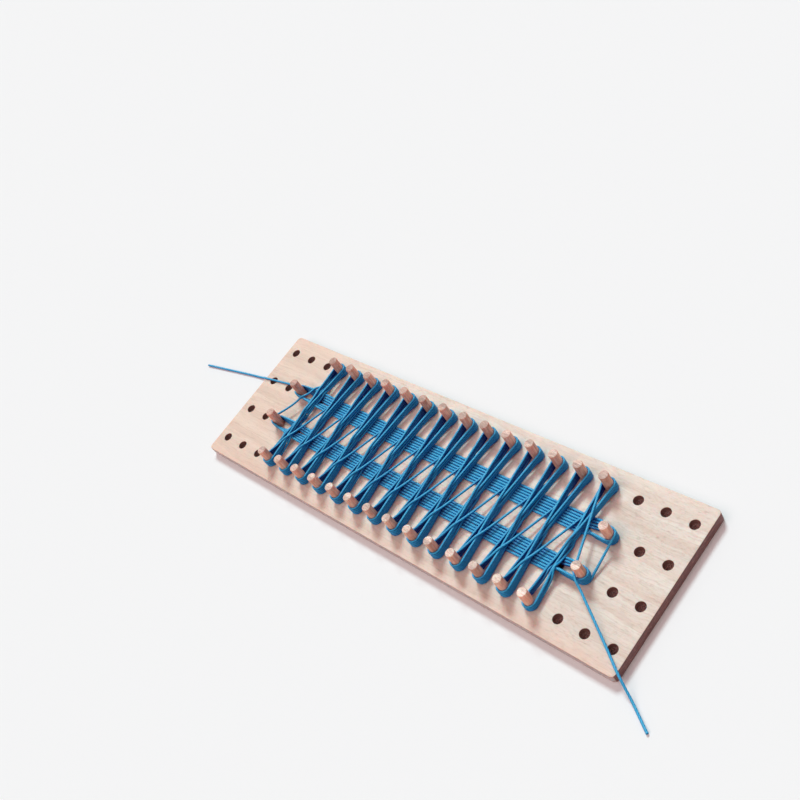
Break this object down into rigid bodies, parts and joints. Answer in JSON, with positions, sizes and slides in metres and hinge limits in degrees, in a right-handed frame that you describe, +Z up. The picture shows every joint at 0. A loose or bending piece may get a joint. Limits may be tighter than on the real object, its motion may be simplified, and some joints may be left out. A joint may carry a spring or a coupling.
{
  "type": "knitting loom",
  "caption": "Rectangular wooden knitting loom: a flat board with a grid of peg holes, lift-out dowel pegs, and yarn wound on them in bands and figures of eight.",
  "frame": {"origin": "centre of the board's underside, on the surface it lies on", "axes": "+X along the board's long side, +Y across it to the far outer row of pegs, +Z up along the pegs"},
  "size_m": [0.6145, 0.1589, 0.029],
  "materials": {
    "board_wood": "plain sanded pale plywood, unvarnished",
    "peg_wood": "plain sanded dowel, unvarnished",
    "yarn": "smooth plied yarn, matt"
  },
  "bodies": {
    "loom": {"board": "board_wood", "yarn_band_far": "yarn", "yarn_band_near": "yarn", "yarn_cross_01": "yarn", "yarn_cross_02": "yarn", "yarn_cross_03": "yarn", "yarn_cross_04": "yarn", "yarn_cross_05": "yarn", "yarn_cross_06": "yarn", "yarn_cross_07": "yarn", "yarn_cross_08": "yarn", "yarn_cross_09": "yarn", "yarn_cross_10": "yarn", "yarn_cross_11": "yarn", "yarn_cross_12": "yarn", "yarn_cross_13": "yarn", "yarn_cross_14": "yarn", "yarn_tail_start": "yarn", "yarn_tail_working": "yarn"},
    "peg_body_far_01": {"peg_far_01": "peg_wood"},
    "peg_body_near_01": {"peg_near_01": "peg_wood"},
    "peg_body_far_02": {"peg_far_02": "peg_wood"},
    "peg_body_near_02": {"peg_near_02": "peg_wood"},
    "peg_body_far_03": {"peg_far_03": "peg_wood"},
    "peg_body_near_03": {"peg_near_03": "peg_wood"},
    "peg_body_far_04": {"peg_far_04": "peg_wood"},
    "peg_body_near_04": {"peg_near_04": "peg_wood"},
    "peg_body_far_05": {"peg_far_05": "peg_wood"},
    "peg_body_near_05": {"peg_near_05": "peg_wood"},
    "peg_body_far_06": {"peg_far_06": "peg_wood"},
    "peg_body_near_06": {"peg_near_06": "peg_wood"},
    "peg_body_far_07": {"peg_far_07": "peg_wood"},
    "peg_body_near_07": {"peg_near_07": "peg_wood"},
    "peg_body_far_08": {"peg_far_08": "peg_wood"},
    "peg_body_near_08": {"peg_near_08": "peg_wood"},
    "peg_body_far_09": {"peg_far_09": "peg_wood"},
    "peg_body_near_09": {"peg_near_09": "peg_wood"},
    "peg_body_far_10": {"peg_far_10": "peg_wood"},
    "peg_body_near_10": {"peg_near_10": "peg_wood"},
    "peg_body_far_11": {"peg_far_11": "peg_wood"},
    "peg_body_near_11": {"peg_near_11": "peg_wood"},
    "peg_body_far_12": {"peg_far_12": "peg_wood"},
    "peg_body_near_12": {"peg_near_12": "peg_wood"},
    "peg_body_far_13": {"peg_far_13": "peg_wood"},
    "peg_body_near_13": {"peg_near_13": "peg_wood"},
    "peg_body_far_14": {"peg_far_14": "peg_wood"},
    "peg_body_near_14": {"peg_near_14": "peg_wood"},
    "peg_body_end_far_left": {"peg_end_far_left": "peg_wood"},
    "peg_body_end_far_right": {"peg_end_far_right": "peg_wood"},
    "peg_body_end_near_left": {"peg_end_near_left": "peg_wood"},
    "peg_body_end_near_right": {"peg_end_near_right": "peg_wood"}
  },
  "joints": [
    {"name": "peg_far_01_lift", "type": "slide", "parent": "loom", "child": "peg_body_far_01", "axis": [0, 0, 1], "range_m": [0, 0.03]},
    {"name": "peg_near_01_lift", "type": "slide", "parent": "loom", "child": "peg_body_near_01", "axis": [0, 0, 1], "range_m": [0, 0.03]},
    {"name": "peg_far_02_lift", "type": "slide", "parent": "loom", "child": "peg_body_far_02", "axis": [0, 0, 1], "range_m": [0, 0.03]},
    {"name": "peg_near_02_lift", "type": "slide", "parent": "loom", "child": "peg_body_near_02", "axis": [0, 0, 1], "range_m": [0, 0.03]},
    {"name": "peg_far_03_lift", "type": "slide", "parent": "loom", "child": "peg_body_far_03", "axis": [0, 0, 1], "range_m": [0, 0.03]},
    {"name": "peg_near_03_lift", "type": "slide", "parent": "loom", "child": "peg_body_near_03", "axis": [0, 0, 1], "range_m": [0, 0.03]},
    {"name": "peg_far_04_lift", "type": "slide", "parent": "loom", "child": "peg_body_far_04", "axis": [0, 0, 1], "range_m": [0, 0.03]},
    {"name": "peg_near_04_lift", "type": "slide", "parent": "loom", "child": "peg_body_near_04", "axis": [0, 0, 1], "range_m": [0, 0.03]},
    {"name": "peg_far_05_lift", "type": "slide", "parent": "loom", "child": "peg_body_far_05", "axis": [0, 0, 1], "range_m": [0, 0.03]},
    {"name": "peg_near_05_lift", "type": "slide", "parent": "loom", "child": "peg_body_near_05", "axis": [0, 0, 1], "range_m": [0, 0.03]},
    {"name": "peg_far_06_lift", "type": "slide", "parent": "loom", "child": "peg_body_far_06", "axis": [0, 0, 1], "range_m": [0, 0.03]},
    {"name": "peg_near_06_lift", "type": "slide", "parent": "loom", "child": "peg_body_near_06", "axis": [0, 0, 1], "range_m": [0, 0.03]},
    {"name": "peg_far_07_lift", "type": "slide", "parent": "loom", "child": "peg_body_far_07", "axis": [0, 0, 1], "range_m": [0, 0.03]},
    {"name": "peg_near_07_lift", "type": "slide", "parent": "loom", "child": "peg_body_near_07", "axis": [0, 0, 1], "range_m": [0, 0.03]},
    {"name": "peg_far_08_lift", "type": "slide", "parent": "loom", "child": "peg_body_far_08", "axis": [0, 0, 1], "range_m": [0, 0.03]},
    {"name": "peg_near_08_lift", "type": "slide", "parent": "loom", "child": "peg_body_near_08", "axis": [0, 0, 1], "range_m": [0, 0.03]},
    {"name": "peg_far_09_lift", "type": "slide", "parent": "loom", "child": "peg_body_far_09", "axis": [0, 0, 1], "range_m": [0, 0.03]},
    {"name": "peg_near_09_lift", "type": "slide", "parent": "loom", "child": "peg_body_near_09", "axis": [0, 0, 1], "range_m": [0, 0.03]},
    {"name": "peg_far_10_lift", "type": "slide", "parent": "loom", "child": "peg_body_far_10", "axis": [0, 0, 1], "range_m": [0, 0.03]},
    {"name": "peg_near_10_lift", "type": "slide", "parent": "loom", "child": "peg_body_near_10", "axis": [0, 0, 1], "range_m": [0, 0.03]},
    {"name": "peg_far_11_lift", "type": "slide", "parent": "loom", "child": "peg_body_far_11", "axis": [0, 0, 1], "range_m": [0, 0.03]},
    {"name": "peg_near_11_lift", "type": "slide", "parent": "loom", "child": "peg_body_near_11", "axis": [0, 0, 1], "range_m": [0, 0.03]},
    {"name": "peg_far_12_lift", "type": "slide", "parent": "loom", "child": "peg_body_far_12", "axis": [0, 0, 1], "range_m": [0, 0.03]},
    {"name": "peg_near_12_lift", "type": "slide", "parent": "loom", "child": "peg_body_near_12", "axis": [0, 0, 1], "range_m": [0, 0.03]},
    {"name": "peg_far_13_lift", "type": "slide", "parent": "loom", "child": "peg_body_far_13", "axis": [0, 0, 1], "range_m": [0, 0.03]},
    {"name": "peg_near_13_lift", "type": "slide", "parent": "loom", "child": "peg_body_near_13", "axis": [0, 0, 1], "range_m": [0, 0.03]},
    {"name": "peg_far_14_lift", "type": "slide", "parent": "loom", "child": "peg_body_far_14", "axis": [0, 0, 1], "range_m": [0, 0.03]},
    {"name": "peg_near_14_lift", "type": "slide", "parent": "loom", "child": "peg_body_near_14", "axis": [0, 0, 1], "range_m": [0, 0.03]},
    {"name": "peg_end_far_left_lift", "type": "slide", "parent": "loom", "child": "peg_body_end_far_left", "axis": [0, 0, 1], "range_m": [0, 0.03]},
    {"name": "peg_end_far_right_lift", "type": "slide", "parent": "loom", "child": "peg_body_end_far_right", "axis": [0, 0, 1], "range_m": [0, 0.03]},
    {"name": "peg_end_near_left_lift", "type": "slide", "parent": "loom", "child": "peg_body_end_near_left", "axis": [0, 0, 1], "range_m": [0, 0.03]},
    {"name": "peg_end_near_right_lift", "type": "slide", "parent": "loom", "child": "peg_body_end_near_right", "axis": [0, 0, 1], "range_m": [0, 0.03]}
  ]
}
